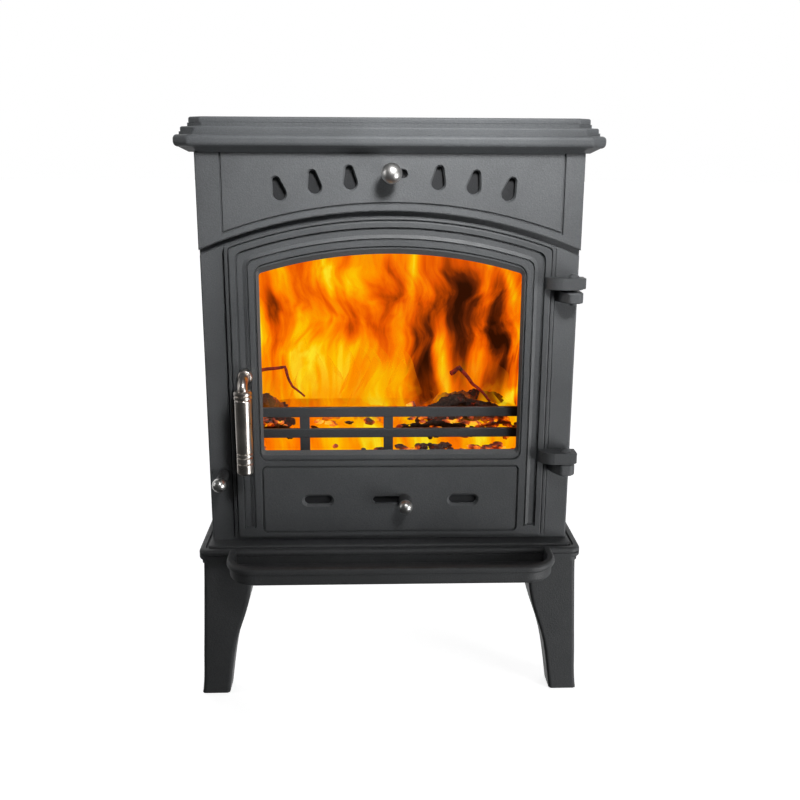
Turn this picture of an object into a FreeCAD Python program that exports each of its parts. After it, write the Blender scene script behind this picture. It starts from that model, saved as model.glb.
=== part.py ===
import FreeCAD, Part
import math
import os

from FreeCAD import Vector

# A free-standing cast-iron wood burning stove. Millimetres, +Z up, the door faces -Y, and the
# origin is on the floor in the middle of the outermost box. A "depth" is always measured
# backwards from the front face of the body, and may be negative for what stands proud of it.
# Heights are measured from a datum just above the floor, and every part is lifted at the end.
# Heights are measured from a datum just above the floor, and lifted by datum_height at the end.

# ---------------------------------------------------------------- driving dimensions
datum_height = 4.0           # the datum that heights are measured from, above the floor
front_face = -150.0          # where the front face of the body stands in Y
body_half = 240.0            # half the body's width
body_depth = 350.0
body_bottom = 213.0
body_top = 720.5
wall = 8.0                   # cast plate thickness
inner_half = body_half - wall

base_bottom = 193.0
base_half = 254.5
base_front = -36.0
base_back = body_depth + 22.0
stove_top = 762.0

arch_z = 32.0                # every arch on the front is struck from this one centre
brow_radius = 618.3          # lower edge of the proud upper panel
brow_proud = 7.0
panel_line_half = 212.0
panel_line_radius = 628.0
panel_line_centre = 2.6      # the framed panel sits a little right of centre

door_half = 208.5
door_bottom = 217.5
door_radius = 611.0
door_front = -12.0
door_edge_front = -8.0
door_back = -2.0
opening_half = 195.0
opening_bottom = 234.0
opening_radius = 592.0

window_half = 166.0
window_bottom = 341.0
window_radius = 566.0
glass_half = 175.5
glass_bottom = 331.5
glass_radius = 575.5
rebate_front = -7.0
glass_front = -6.0

hinge_x = 230.0
hinge_depth = -19.0
pin_radius = 4.0
pin_clearance = 0.08
ear_front = -31.0
upper_door_ear = (555.0, 569.5)
upper_body_ear = (537.5, 551.5)
lower_door_ear = (326.0, 341.0)
lower_body_ear = (310.0, 325.0)

handle_x = -186.2
handle_z = 442.7
handle_grip_depth = -49.0
spindle_radius = 4.0

vent_radius = 662.5          # the six vents stand on one arc about the arch centre
vent_row_centre = 3.8
vent_offsets = (55.1, 99.7, 143.9)
vent_fan_z = 150.0           # their axes fan out from here
vent_length = 16.4           # between the centres of its two round ends
vent_small_radius = 6.2
vent_large_radius = 10.0
vent_bevel = 2.0
top_slot = (-6.0, 21.0, 695.3, 12.5)      # left end, right end, height, width
top_knob_x = 0.0
top_travel = 15.5
low_slot = (-24.2, 25.0, 272.0, 11.4)
low_knob_x = 19.0
low_travel = 38.0
low_air_x = 96.5
low_air_size = (42.5, 17.5)

rod_x = -221.2
rod_z = 305.5
rod_radius = 4.0
grate_bottom = 310.0
grate_top = 320.0

flue_z = 612.0
flue_radius = 76.5
flue_end = body_depth + 50.0

leg_front = -26.0
leg_outer_top = 249.5
leg_bolt_x = 208.0
leg_bolt_depth = 22.0


# ---------------------------------------------------------------- basic shapes
def spot(x, depth, z):
    return Vector(x, front_face + depth, z)


def box(x0, x1, d0, d1, z0, z1):
    return Part.makeBox(x1 - x0, d1 - d0, z1 - z0, spot(x0, d0, z0))


def rod_along_y(x, z, d0, d1, radius):
    return Part.makeCylinder(radius, d1 - d0, spot(x, d0, z), Vector(0, 1, 0))


def rod_upright(x, depth, z0, z1, radius):
    return Part.makeCylinder(radius, z1 - z0, spot(x, depth, z0), Vector(0, 0, 1))


def ball(x, depth, z, radius):
    return Part.makeSphere(radius, spot(x, depth, z))


def hexagon(across_flats, low, high, along_y=False):
    """A hexagonal prism on the Z axis, or on the Y axis, from low to high."""
    radius = across_flats / math.sqrt(3.0)
    points = []
    for corner in range(7):
        angle = math.radians(60 * corner)
        points.append(Vector(radius * math.cos(angle), radius * math.sin(angle), low))
    prism = Part.Face(Part.makePolygon(points)).extrude(Vector(0, 0, high - low))
    if along_y:
        prism.rotate(Vector(0, 0, 0), Vector(1, 0, 0), -90)
    return prism


def moved(shape, x, depth, z):
    copy = shape.copy()
    copy.translate(spot(x, depth, z))
    return copy


def fused(shapes):
    whole = shapes[0]
    if len(shapes) > 1:
        whole = whole.multiFuse(shapes[1:])
    return whole.removeSplitter()


def separate(shapes):
    return Part.makeCompound(shapes)


def edges_at_height(shape, z):
    flat = []
    for edge in shape.Edges:
        box_of_edge = edge.BoundBox
        if abs(box_of_edge.ZMin - z) < 0.01 and abs(box_of_edge.ZMax - z) < 0.01:
            flat.append(edge)
    return flat


def edges_at_depth(shape, depth):
    flat = []
    for edge in shape.Edges:
        box_of_edge = edge.BoundBox
        level = front_face + depth
        if abs(box_of_edge.YMin - level) < 0.01 and abs(box_of_edge.YMax - level) < 0.01:
            flat.append(edge)
    return flat


def rounded_wire(points, radius):
    """A closed flat outline through the points, with every corner rounded."""
    count = len(points)
    starts = []
    ends = []
    middles = []
    for index in range(count):
        corner = points[index]
        to_last = (points[index - 1] - corner).normalize()
        to_next = (points[(index + 1) % count] - corner).normalize()
        half_angle = to_last.getAngle(to_next) / 2.0
        reach = radius / math.tan(half_angle)
        inward = (to_last + to_next).normalize()
        starts.append(corner + to_last * reach)
        ends.append(corner + to_next * reach)
        middles.append(corner + inward * (radius / math.sin(half_angle) - radius))
    edges = []
    for index in range(count):
        edges.append(Part.Arc(starts[index], middles[index], ends[index]).toShape())
        edges.append(Part.LineSegment(ends[index], starts[(index + 1) % count]).toShape())
    return Part.Wire(edges)


def flat_rectangle(half, d0, d1, z, radius):
    corners = [spot(-half, d0, z), spot(half, d0, z), spot(half, d1, z), spot(-half, d1, z)]
    return rounded_wire(corners, radius)


def slab(half, d0, d1, z0, z1, corner, round_low=0.0, round_high=0.0):
    """A flat plate with rounded plan corners, and rounded lower and upper edges."""
    plate = Part.Face(flat_rectangle(half, d0, d1, z0, corner)).extrude(Vector(0, 0, z1 - z0))
    if round_high:
        plate = plate.makeFillet(round_high, edges_at_height(plate, z1))
    if round_low:
        plate = plate.makeFillet(round_low, edges_at_height(plate, z0))
    return plate


def upright_wire(points, depth, radius):
    return rounded_wire([spot(x, depth, z) for x, z in points], radius)


def arc_height(radius, x):
    return arch_z + math.sqrt(radius * radius - x * x)


def arched_wire(half, bottom, radius, top_corner, low_corner, depth):
    """An upright outline: flat bottom, straight sides, and an arch struck from arch_z."""
    cx = half - top_corner
    cz = arch_z + math.sqrt((radius - top_corner) ** 2 - cx * cx)
    scale = radius / (radius - top_corner)
    tip_x = cx * scale
    tip_z = arch_z + (cz - arch_z) * scale
    lean = math.atan2(cz - arch_z, cx) / 2.0
    mid_x = cx + top_corner * math.cos(lean)
    mid_z = cz + top_corner * math.sin(lean)
    drop = low_corner * (1.0 - math.sqrt(0.5))
    line = Part.LineSegment
    edges = [
        line(spot(-half + low_corner, depth, bottom), spot(half - low_corner, depth, bottom)),
        Part.Arc(spot(half - low_corner, depth, bottom), spot(half - drop, depth, bottom + drop),
                 spot(half, depth, bottom + low_corner)),
        line(spot(half, depth, bottom + low_corner), spot(half, depth, cz)),
        Part.Arc(spot(half, depth, cz), spot(mid_x, depth, mid_z), spot(tip_x, depth, tip_z)),
        Part.Arc(spot(tip_x, depth, tip_z), spot(0, depth, arch_z + radius),
                 spot(-tip_x, depth, tip_z)),
        Part.Arc(spot(-tip_x, depth, tip_z), spot(-mid_x, depth, mid_z), spot(-half, depth, cz)),
        line(spot(-half, depth, cz), spot(-half, depth, bottom + low_corner)),
        Part.Arc(spot(-half, depth, bottom + low_corner),
                 spot(-half + drop, depth, bottom + drop),
                 spot(-half + low_corner, depth, bottom)),
    ]
    return Part.Wire([edge.toShape() for edge in edges])


def arched_plate(half, bottom, radius, top_corner, low_corner, d0, d1):
    outline = arched_wire(half, bottom, radius, top_corner, low_corner, d0)
    return Part.Face(outline).extrude(Vector(0, d1 - d0, 0))


def arched_bevel(near, far, d0, d1):
    """A tapered arched plug: near and far are (half, bottom, radius, top, low corner)."""
    return Part.makeLoft([arched_wire(*near, d0), arched_wire(*far, d1)], True, True)


def arched_groove(half, bottom, radius, top_corner, low_corner, surface, width, deep):
    """The waste of a tapered groove that follows an arched outline."""
    spread = width / 2.0
    floor = spread * 0.3

    def ring(offset, depth):
        return arched_wire(half + offset, bottom - offset, radius + offset,
                           max(top_corner + offset, 0.6), max(low_corner + offset, 0.6), depth)

    outer = Part.makeLoft([ring(spread, surface), ring(floor, surface + deep)], True, True)
    inner = Part.makeLoft([ring(-spread, surface), ring(-floor, surface + deep)], True, True)
    return outer.cut(inner)


def rectangle_groove(half, z0, z1, corner, surface, width, deep):
    """The waste of a tapered groove round a rounded rectangle on an upright face."""
    spread = width / 2.0
    floor = spread * 0.3

    def ring(offset, depth):
        x = half + offset
        corners = [(-x, z0 - offset), (x, z0 - offset), (x, z1 + offset), (-x, z1 + offset)]
        return upright_wire(corners, depth, corner + offset)

    outer = Part.makeLoft([ring(spread, surface), ring(floor, surface + deep)], True, True)
    inner = Part.makeLoft([ring(-spread, surface), ring(-floor, surface + deep)], True, True)
    return outer.cut(inner)


def stadium_wire(x0, x1, z, height, depth):
    """A slot outline with round ends, on an upright face."""
    radius = height / 2.0
    left = x0 + radius
    right = x1 - radius
    edges = [
        Part.LineSegment(spot(left, depth, z - radius), spot(right, depth, z - radius)),
        Part.Arc(spot(right, depth, z - radius), spot(x1, depth, z), spot(right, depth, z + radius)),
        Part.LineSegment(spot(right, depth, z + radius), spot(left, depth, z + radius)),
        Part.Arc(spot(left, depth, z + radius), spot(x0, depth, z), spot(left, depth, z - radius)),
    ]
    return Part.Wire([edge.toShape() for edge in edges])


def stadium(x0, x1, z, height, d0, d1):
    return Part.Face(stadium_wire(x0, x1, z, height, d0)).extrude(Vector(0, d1 - d0, 0))


def bevelled_stadium(x0, x1, z, height, surface, bevel, deep, through):
    """A slot with a sloping rim: wide at the surface, and straight sided further in."""
    rim = Part.makeLoft([stadium_wire(x0, x1, z, height, surface),
                         stadium_wire(x0 + bevel, x1 - bevel, z, height - 2 * bevel,
                                      surface + deep)], True, True)
    hole = stadium(x0 + bevel, x1 - bevel, z, height - 2 * bevel, surface, through)
    return rim.fuse(hole)


def teardrop_wire(centre_x, centre_z, shrink, depth):
    """A teardrop outline, narrow end up, its axis fanning out from vent_fan_z."""
    small = vent_small_radius - shrink
    large = vent_large_radius - shrink
    lean = math.asin((large - small) / vent_length)
    tilt = math.atan2(centre_x, centre_z - vent_fan_z)

    def place(x, z):
        return spot(centre_x + x * math.cos(tilt) + z * math.sin(tilt), depth,
                    centre_z - x * math.sin(tilt) + z * math.cos(tilt))

    top = vent_length / 2.0
    side_x = math.cos(lean)
    side_z = math.sin(lean)
    top_right = place(small * side_x, top + small * side_z)
    top_left = place(-small * side_x, top + small * side_z)
    low_right = place(large * side_x, -top + large * side_z)
    low_left = place(-large * side_x, -top + large * side_z)
    edges = [
        Part.Arc(top_left, place(0, top + small), top_right),
        Part.LineSegment(top_right, low_right),
        Part.Arc(low_right, place(0, -top - large), low_left),
        Part.LineSegment(low_left, top_left),
    ]
    return Part.Wire([edge.toShape() for edge in edges])


def vent_centres():
    centres = []
    for offset in vent_offsets:
        for side in (-1, 1):
            centres.append((vent_row_centre + side * offset, arc_height(vent_radius, offset)))
    return centres


def mirrored_x(shape):
    return shape.mirror(Vector(0, 0, 0), Vector(1, 0, 0))


# ---------------------------------------------------------------- stand: base, lip and legs
def base_plate():
    """Moulded bottom plate: a nosing with a groove, an inner step, and two ash pan rails."""
    foot = slab(base_half - 4.0, base_front, base_back - 4.0, base_bottom, 199.0, 11.0)
    main = slab(base_half, base_front, base_back, 197.0, 204.0, 14.0, 2.5, 0.0)
    nosing = slab(base_half, base_front, base_back, 203.0, 211.0, 14.0, 0.0, 4.5)
    valley = slab(base_half - 8.0, base_front + 8.0, base_back - 8.0, 208.5, 212.0, 8.0)
    step = slab(base_half - 11.5, base_front + 13.0, base_back - 11.5, 203.0, body_bottom,
                6.0, 0.0, 2.4)
    rails = []
    for side in (-1, 1):
        rails.append(box(side * 145 - 5, side * 145 + 5, 20, 330, 212, 237))
    plate = fused([foot, main, nosing.cut(valley), step] + rails)
    ring = slab(base_half + 2, base_front - 2, base_back + 2, 203.2, 204.8, 14.0)
    ring = ring.cut(slab(base_half - 1.6, base_front + 1.6, base_back - 1.6, 203.2, 204.8, 12.0))
    hollow = slab(178.0, 8.0, 342.0, base_bottom - 1.0, 203.0, 10.0)
    plate = plate.cut(ring).cut(hollow)
    for x, depth in leg_bolt_spots():
        plate = plate.cut(rod_upright(x, depth, 180, 230, 5.05))
    for x in (-120, 0, 120):
        plate = plate.cut(rod_upright(x, -15, 180, 205, 4.05))
    return plate


def ash_lip():
    """Shallow tray in front of the base plate, with a beaded rim and large front corners."""
    half = 213.0
    front = -100.0
    back = base_front

    def outline(inset, z, radius):
        x = half - inset
        corner = radius
        middle = corner * (1.0 - math.sqrt(0.5))
        nose = front + inset
        edges = [
            Part.LineSegment(spot(-x, back, z), spot(-x, nose + corner, z)),
            Part.Arc(spot(-x, nose + corner, z), spot(-x + middle, nose + middle, z),
                     spot(-x + corner, nose, z)),
            Part.LineSegment(spot(-x + corner, nose, z), spot(x - corner, nose, z)),
            Part.Arc(spot(x - corner, nose, z), spot(x - middle, nose + middle, z),
                     spot(x, nose + corner, z)),
            Part.LineSegment(spot(x, nose + corner, z), spot(x, back, z)),
            Part.LineSegment(spot(x, back, z), spot(-x, back, z)),
        ]
        return Part.Wire([edge.toShape() for edge in edges])

    def block(inset, radius, z0, z1):
        return Part.Face(outline(inset, z0, radius)).extrude(Vector(0, 0, z1 - z0))

    def front_edges(shape, z):
        chosen = []
        for edge in edges_at_height(shape, z):
            if edge.BoundBox.YMin < front_face + back - 1.0:
                chosen.append(edge)
        return chosen

    rim = block(0.0, 40.0, 203.5, 213.0)
    rim = rim.makeFillet(3.6, front_edges(rim, 213.0))
    rim = rim.makeFillet(3.6, front_edges(rim, 203.5))
    skirt = block(3.5, 37.0, 188.0, 206.0)
    skirt = skirt.makeFillet(6.0, front_edges(skirt, 188.0))
    hollow = block(9.0, 32.0, 193.0, 220.0)
    tongue = box(-182, 182, base_front - 1, 0, 188.0, base_bottom)
    tray = fused([rim, skirt]).cut(hollow)
    tray = fused([tray, tongue])
    for x in (-120, 0, 120):
        tray = tray.cut(rod_upright(x, -15, 180, 200, 4.05))
    return tray


def leg_bolt_spots():
    spots = []
    for x in (-leg_bolt_x, leg_bolt_x):
        for depth in (leg_bolt_depth, body_depth - leg_bolt_depth):
            spots.append((x, depth))
    return spots


def front_right_leg():
    """A curved leg, lofted through rounded squares that narrow towards the foot."""
    # height, outer edge, inner edge
    stations = (
        (-datum_height, 259.8, 221.8), (9.0, 258.0, 220.0), (45.0, 256.0, 215.0), (82.0, 254.2, 207.3),
        (120.0, 252.4, 194.8), (155.0, 250.8, 187.6), (base_bottom, leg_outer_top, 185.5),
    )
    wires = []
    for z, outer, inner in stations:
        back = leg_front + (outer - inner)
        corners = [spot(inner, leg_front, z), spot(outer, leg_front, z),
                   spot(outer, back, z), spot(inner, back, z)]
        wires.append(rounded_wire(corners, 5.0))
    leg = Part.makeLoft(wires, True, False)
    return leg.cut(rod_upright(leg_bolt_x, leg_bolt_depth, 160, 200, 5.05))


def legs():
    middle = spot(0, body_depth / 2.0, 0)
    front_right = front_right_leg()
    rear_right = front_right.mirror(middle, Vector(0, 1, 0))
    return {
        "leg_front_right": front_right,
        "leg_front_left": mirrored_x(front_right),
        "leg_rear_right": rear_right,
        "leg_rear_left": mirrored_x(rear_right),
    }


def leg_bolts():
    bolts = []
    for x, depth in leg_bolt_spots():
        head = hexagon(17.0, body_bottom, body_bottom + 6.4)
        shank = Part.makeCylinder(4.9, body_bottom + 6.4 - 165.0, Vector(0, 0, 165.0))
        bolts.append(moved(fused([head, shank]), x, depth, 0))
    return separate(bolts)


def lip_bolts():
    bolts = []
    for x in (-120, 0, 120):
        head = hexagon(13.0, 182.7, 188.0)
        shank = Part.makeCylinder(4.0, 204.0 - 182.7, Vector(0, 0, 182.7))
        bolts.append(moved(fused([head, shank]), x, -15, 0))
    return separate(bolts)


# ---------------------------------------------------------------- body shell
def body_ear(z0, z1):
    """Chunky hinge lug, tapering back into the front plate, with softened edges."""
    outline = [(211.0, 1.0), (215.5, -18.0), (223.0, -31.0), (236.5, -31.0), (242.0, -25.0),
               (242.0, -9.0), (239.5, 1.0)]
    corners = [spot(x, depth, z0) for x, depth in outline]
    lug = Part.Face(Part.makePolygon(corners + corners[:1])).extrude(Vector(0, 0, z1 - z0))
    upright = []
    for edge in lug.Edges:
        if edge.BoundBox.ZLength > 1.0 and edge.BoundBox.YMax < front_face - 24.0:
            upright.append(edge)
    lug = lug.makeFillet(5.0, upright)
    softened = []
    for edge in lug.Edges:
        if edge.BoundBox.YMin < front_face - 8.0 and edge.BoundBox.YMax < front_face - 1.0:
            if edge.BoundBox.ZLength < 1.0:
                softened.append(edge)
    return lug.makeFillet(2.2, softened)


def upper_panel():
    """The proud part of the front, above the brow arch."""
    low = arc_height(brow_radius, body_half)
    edges = [
        Part.Arc(spot(-body_half, -brow_proud, low),
                 spot(0, -brow_proud, arch_z + brow_radius),
                 spot(body_half, -brow_proud, low)),
        Part.LineSegment(spot(body_half, -brow_proud, low), spot(body_half, -brow_proud, body_top)),
        Part.LineSegment(spot(body_half, -brow_proud, body_top),
                         spot(-body_half, -brow_proud, body_top)),
        Part.LineSegment(spot(-body_half, -brow_proud, body_top), spot(-body_half, -brow_proud, low)),
    ]
    outline = Part.Wire([edge.toShape() for edge in edges])
    panel = Part.Face(outline).extrude(Vector(0, brow_proud + 1.0, 0))
    rounded = []
    for edge in edges_at_depth(panel, -brow_proud):
        if edge.BoundBox.ZMax < body_top - 1.0 or edge.BoundBox.XLength < 1.0:
            rounded.append(edge)
    return panel.makeFillet(1.8, rounded)


def upper_panel_groove():
    """A line that frames the upper panel: two uprights and an arch between them."""
    top = body_top + 20.0

    def outline(offset, depth):
        half = panel_line_half + offset
        radius = panel_line_radius - offset
        low = arc_height(radius, half)
        edges = [
            Part.Arc(spot(-half, depth, low), spot(0, depth, arch_z + radius),
                     spot(half, depth, low)),
            Part.LineSegment(spot(half, depth, low), spot(half, depth, top)),
            Part.LineSegment(spot(half, depth, top), spot(-half, depth, top)),
            Part.LineSegment(spot(-half, depth, top), spot(-half, depth, low)),
        ]
        return Part.Wire([edge.toShape() for edge in edges])

    surface = -brow_proud
    floor = surface + 2.8
    outer = Part.makeLoft([outline(1.7, surface), outline(0.5, floor)], True, True)
    inner = Part.makeLoft([outline(-1.7, surface), outline(-0.5, floor)], True, True)
    groove = outer.cut(inner)
    groove.translate(Vector(panel_line_centre, 0, 0))
    return groove


def door_edge_groove(side):
    """An upright V-groove in the front plate, close beside the door's edge."""
    middle = side * (door_half + 0.6)
    corners = [spot(middle - 1.9, -1, 216), spot(middle + 1.9, -1, 216), spot(middle + 1.6, 0, 216),
               spot(middle, 3.4, 216), spot(middle - 1.6, 0, 216), spot(middle - 1.9, -1, 216)]
    return Part.Face(Part.makePolygon(corners)).extrude(Vector(0, 0, 388))


def front_plate():
    """Front casting: door opening, proud vented upper panel and the two fixed hinge ears."""
    plate = box(-body_half, body_half, 0, wall, body_bottom, body_top)
    corners = []
    for edge in edges_at_depth(plate, 0):
        if edge.BoundBox.ZLength > 100.0:
            corners.append(edge)
    plate = plate.makeFillet(2.5, corners)
    plate = fused([plate, upper_panel()])
    opening = arched_plate(opening_half, opening_bottom, opening_radius, 12, 12, -1, wall + 1)
    gap_outer = rod_along_y(0, arch_z, 0, 4, brow_radius)
    gap_inner = rod_along_y(0, arch_z, 0, 4, door_radius + 0.5)
    slider_pocket = box(-205, 205, 1, wall + 1, 652, body_top + 1)
    slot = bevelled_stadium(top_slot[0], top_slot[1], top_slot[2], top_slot[3],
                            -brow_proud, 0.8, 0.8, 2.0)
    plate = plate.cut(opening).cut(gap_outer.cut(gap_inner)).cut(upper_panel_groove())
    plate = plate.cut(slider_pocket).cut(slot)
    plate = plate.cut(door_edge_groove(-1)).cut(door_edge_groove(1))
    for x, z in vent_centres():
        rim = Part.makeLoft([teardrop_wire(x, z, 0.0, -brow_proud),
                             teardrop_wire(x, z, vent_bevel, -brow_proud + 3.2)], True, True)
        hole = Part.Face(teardrop_wire(x, z, vent_bevel, -brow_proud)).extrude(Vector(0, 9.0, 0))
        plate = plate.cut(rim.fuse(hole))
    plate = plate.cut(rod_along_y(rod_x, rod_z, -1, wall + 1, rod_radius + pin_clearance))
    ears = [body_ear(*upper_body_ear), body_ear(*lower_body_ear)]
    plate = fused([plate] + ears)
    for low, high in (upper_body_ear, lower_body_ear):
        plate = plate.cut(rod_upright(hinge_x, hinge_depth, low - 1, high + 1, pin_radius + 0.02))
    return plate


def right_side_plate():
    """Side casting with a framed panel outside, and ledges for the grate and baffle inside."""
    plate = box(inner_half, body_half, wall, body_depth, body_bottom, body_top)
    ledge = box(226.0, inner_half, 20, 336, 298, grate_bottom)
    lug = box(222.0, inner_half, 122, 137, 571, 585.5)
    plate = fused([plate, ledge, lug])
    groove = rectangle_groove(128.0, 262.0, 672.0, 8.0, 0.0, 3.4, 2.2)
    inner_groove = rectangle_groove(114.0, 276.0, 658.0, 5.0, 0.0, 2.0, 1.2)
    for line in (groove, inner_groove):
        turned = line.copy()
        turned.rotate(spot(0, 0, 0), Vector(0, 0, 1), 90)
        turned.translate(Vector(body_half, body_depth / 2.0 + wall / 2.0, 0))
        plate = plate.cut(turned)
    return plate


def back_plate():
    """Rear casting with the flue outlet and a raised seat for its collar."""
    plate = box(-inner_half, inner_half, body_depth - wall - 2, body_depth, body_bottom, body_top)
    frame = rectangle_groove(205.0, 250.0, 700.0, 10.0, 0.0, 3.0, 1.8)
    frame.rotate(spot(0, 0, 0), Vector(0, 0, 1), 180)
    frame.translate(Vector(0, body_depth, 0))
    plate = plate.cut(frame)
    plate = plate.cut(rod_along_y(0, flue_z, 300, 400, flue_radius - 6.5))
    for x, z in collar_bolt_spots():
        plate = plate.cut(rod_along_y(x, z, 330, 360, 3.05))
    return plate


def collar_bolt_spots():
    spots = []
    for angle in (90, 210, 330):
        x = 91.5 * math.cos(math.radians(angle))
        z = flue_z + 91.5 * math.sin(math.radians(angle))
        spots.append((x, z))
    return spots


def flue_collar():
    flange = rod_along_y(0, flue_z, body_depth, body_depth + 7, 100.0)
    flange = flange.makeFillet(2.0, edges_at_depth(flange, body_depth + 7))
    tube = rod_along_y(0, flue_z, body_depth, flue_end, 83.5)
    tube = tube.makeFillet(2.0, edges_at_depth(tube, flue_end))
    bead = rod_along_y(0, flue_z, flue_end - 9, flue_end - 3, 86.0)
    bead = bead.makeFillet(2.4, edges_at_depth(bead, flue_end - 9) + edges_at_depth(bead, flue_end - 3))
    collar = fused([flange, tube, bead])
    collar = collar.cut(rod_along_y(0, flue_z, body_depth - 1, flue_end + 1, flue_radius))
    for x, z in collar_bolt_spots():
        collar = collar.cut(rod_along_y(x, z, body_depth - 1, body_depth + 10, 3.05))
    return collar


def collar_bolts():
    bolts = []
    for x, z in collar_bolt_spots():
        head = hexagon(10.0, 0.0, 4.0, True)
        shank = Part.makeCylinder(3.0, 21.0, Vector(0, -17.0, 0), Vector(0, 1, 0))
        bolts.append(moved(fused([head, shank]), x, body_depth + 7, z))
    return separate(bolts)


def top_outline(overhang, z):
    """A level outline that overhangs the body all round, with its corners cut off."""
    half = body_half + overhang
    front = -overhang
    back = body_depth + overhang
    cut = 20.0 if overhang > 9.0 else 16.0
    corners = [(-half + cut, front), (half - cut, front), (half, front + cut), (half, back - cut),
               (half - cut, back), (-half + cut, back), (-half, back - cut), (-half, front + cut)]
    return rounded_wire([spot(x, depth, z) for x, depth in corners], 5.0)


def top_plate():
    """Three-step moulded top, hollow underneath, with the spare top flue hole."""
    # overhang, bottom, top, rounding of the lower and upper edges
    steps = (
        (25.0, 726.5, 741.0, 6.0, 5.2), (18.5, 740.0, 744.5, 0.0, 0.0),
        (17.0, 743.0, 750.5, 1.8, 2.4), (9.5, 749.5, 755.0, 0.0, 0.0),
        (7.5, 754.0, stove_top, 2.0, 2.6),
    )
    layers = []
    for overhang, z0, z1, low, high in steps:
        layer = Part.Face(top_outline(overhang, z0)).extrude(Vector(0, 0, z1 - z0))
        if high:
            layer = layer.makeFillet(high, edges_at_height(layer, z1))
        if low:
            layer = layer.makeFillet(low, edges_at_height(layer, z0))
        layers.append(layer)
    layers.append(Part.makeLoft([top_outline(brow_proud + 1.5, body_top),
                                 top_outline(20.5, 727.0)], True, True))
    plate = fused(layers)
    plate = plate.cut(box(-224, 224, 14, 334, body_top - 1, 752))
    plate = plate.cut(rod_upright(0, 225, 740, 770, flue_radius))
    return plate.cut(rod_upright(0, 225, 756, 770, 84.4))


def blanking_plate():
    """Lid of the spare flue hole, flush with the top, with a spigot below it."""
    lid = rod_upright(0, 225, 756, stove_top, 84.0)
    lid = lid.makeChamfer(1.0, edges_at_height(lid, stove_top))
    spigot = rod_upright(0, 225, 750, 757, 75.8)
    return fused([lid, spigot])


def tie_rod_spots():
    spots = []
    for side in (-1, 1):
        spots.append((side * 228.7, 12.5))
        spots.append((side * 222.0, body_depth + 9.0))
    return spots


def tie_rods():
    """Studs that clamp the plates between the base and the top, each with a nut."""
    rods = []
    for x, depth in tie_rod_spots():
        top = body_top
        nut = hexagon(5.5, body_bottom, body_bottom + 4.5)
        if depth > body_depth:
            nut = hexagon(13.0, body_bottom, body_bottom + 6.5)
        stud = Part.makeCylinder(2.7, top - body_bottom, Vector(0, 0, body_bottom))
        rods.append(moved(fused([nut, stud]), x, depth, 0))
    return separate(rods)


# ---------------------------------------------------------------- firebox
def grate_frame():
    frame = box(-231.5, 231.5, 18.5, 336, grate_bottom, grate_top)
    frame = frame.cut(box(-122, 122, 80, 270, grate_bottom - 1, grate_top + 1))
    for side in (-1, 1):
        for index in range(9):
            depth = 90 + 21 * index
            x0 = min(side * 150, side * 196)
            x1 = max(side * 150, side * 196)
            frame = frame.cut(box(x0, x1, depth, depth + 9, grate_bottom - 1, grate_top + 1))
    return frame


def riddling_grate():
    """The sliding middle of the grate: a slotted plate with a lug down to the rod."""
    plate = box(-135, 135, 62, 286, grate_top, grate_top + 8)
    for row in range(4):
        for column in range(11):
            x = -116 + 22.0 * column
            depth = 74 + 52.0 * row
            slot = box(x, x + 9, depth, depth + 44, grate_top - 1, grate_top + 9)
            plate = plate.cut(slot)
    return plate


def riddling_rod():
    """Pull rod, its cross arm, and the lug that pushes the grate."""
    shaft = rod_along_y(rod_x, rod_z, -44, 178, rod_radius)
    arm = box(rod_x, -113, 168, 178, rod_z - 4, rod_z + 3.5)
    lug = box(-121, -113, 168, 178, rod_z - 4, grate_top)
    return fused([shaft, arm, lug])


def riddling_ferrule():
    sleeve = rod_along_y(rod_x, rod_z, -36, -0.4, 7.2)
    sleeve = sleeve.makeFillet(1.2, edges_at_depth(sleeve, -36))
    return sleeve.cut(rod_along_y(rod_x, rod_z, -40, 5, rod_radius))


def riddling_knob():
    knob = ball(rod_x, -43, rod_z, 9.1).cut(rod_along_y(rod_x, rod_z, -36, 0, 20.0))
    return knob.cut(rod_along_y(rod_x, rod_z, -44, -20, rod_radius))


def right_liner():
    liner = box(209.0, 231.5, 34, 317.5, grate_top, 524)
    for z in (390, 460):
        liner = liner.cut(box(205.0, 210.2, 30, 320, z, z + 2.0))
    return liner


def rear_liner():
    liner = box(-231.5, 231.5, 318, 339.5, grate_top, 524)
    for x in (-80, 78):
        liner = liner.cut(box(x, x + 2, 315, 319.2, grate_top - 1, 530))
    return liner


def baffle_plate():
    """Throat plate: rises towards the front, so that smoke passes over its front edge."""
    low = 524.0
    high = 594.0
    thick = 8.0
    points = [spot(-229, 110, high), spot(-229, 338, low), spot(-229, 338, low + thick),
              spot(-229, 110, high + thick), spot(-229, 110, high)]
    return Part.Face(Part.makePolygon(points)).extrude(Vector(458, 0, 0))


def log_guard():
    """Fire fence: three cross bars and their uprights, standing on the grate frame."""
    near = 24.0
    far = 30.0
    bars = []
    for z0, z1 in ((377.0, 390.4), (348.4, 360.8), (grate_top, 329.0)):
        bar = box(-200, 200, near, far, z0, z1)
        bars.append(bar.makeFillet(1.2, bar.Edges))
    for x0, x1 in ((-121.0, -108.0), (-8.6, 4.0), (-200.0, -190.0), (190.0, 200.0)):
        bars.append(box(x0, x1, near + 0.6, far - 0.6, grate_top + 1, 382))
    return fused(bars)


def ash_pan():
    """Folded steel drawer under the grate, with a bail to lift it by."""
    pan = box(-165, 165, 24, 318, 237, 286)
    pan = pan.cut(box(-163, 163, 26, 316, 239, 300))
    hoop = box(-40, 40, 14, 24.5, 258, 266).cut(box(-33, 33, 18, 24, 250, 270))
    return fused([pan, hoop])


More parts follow.
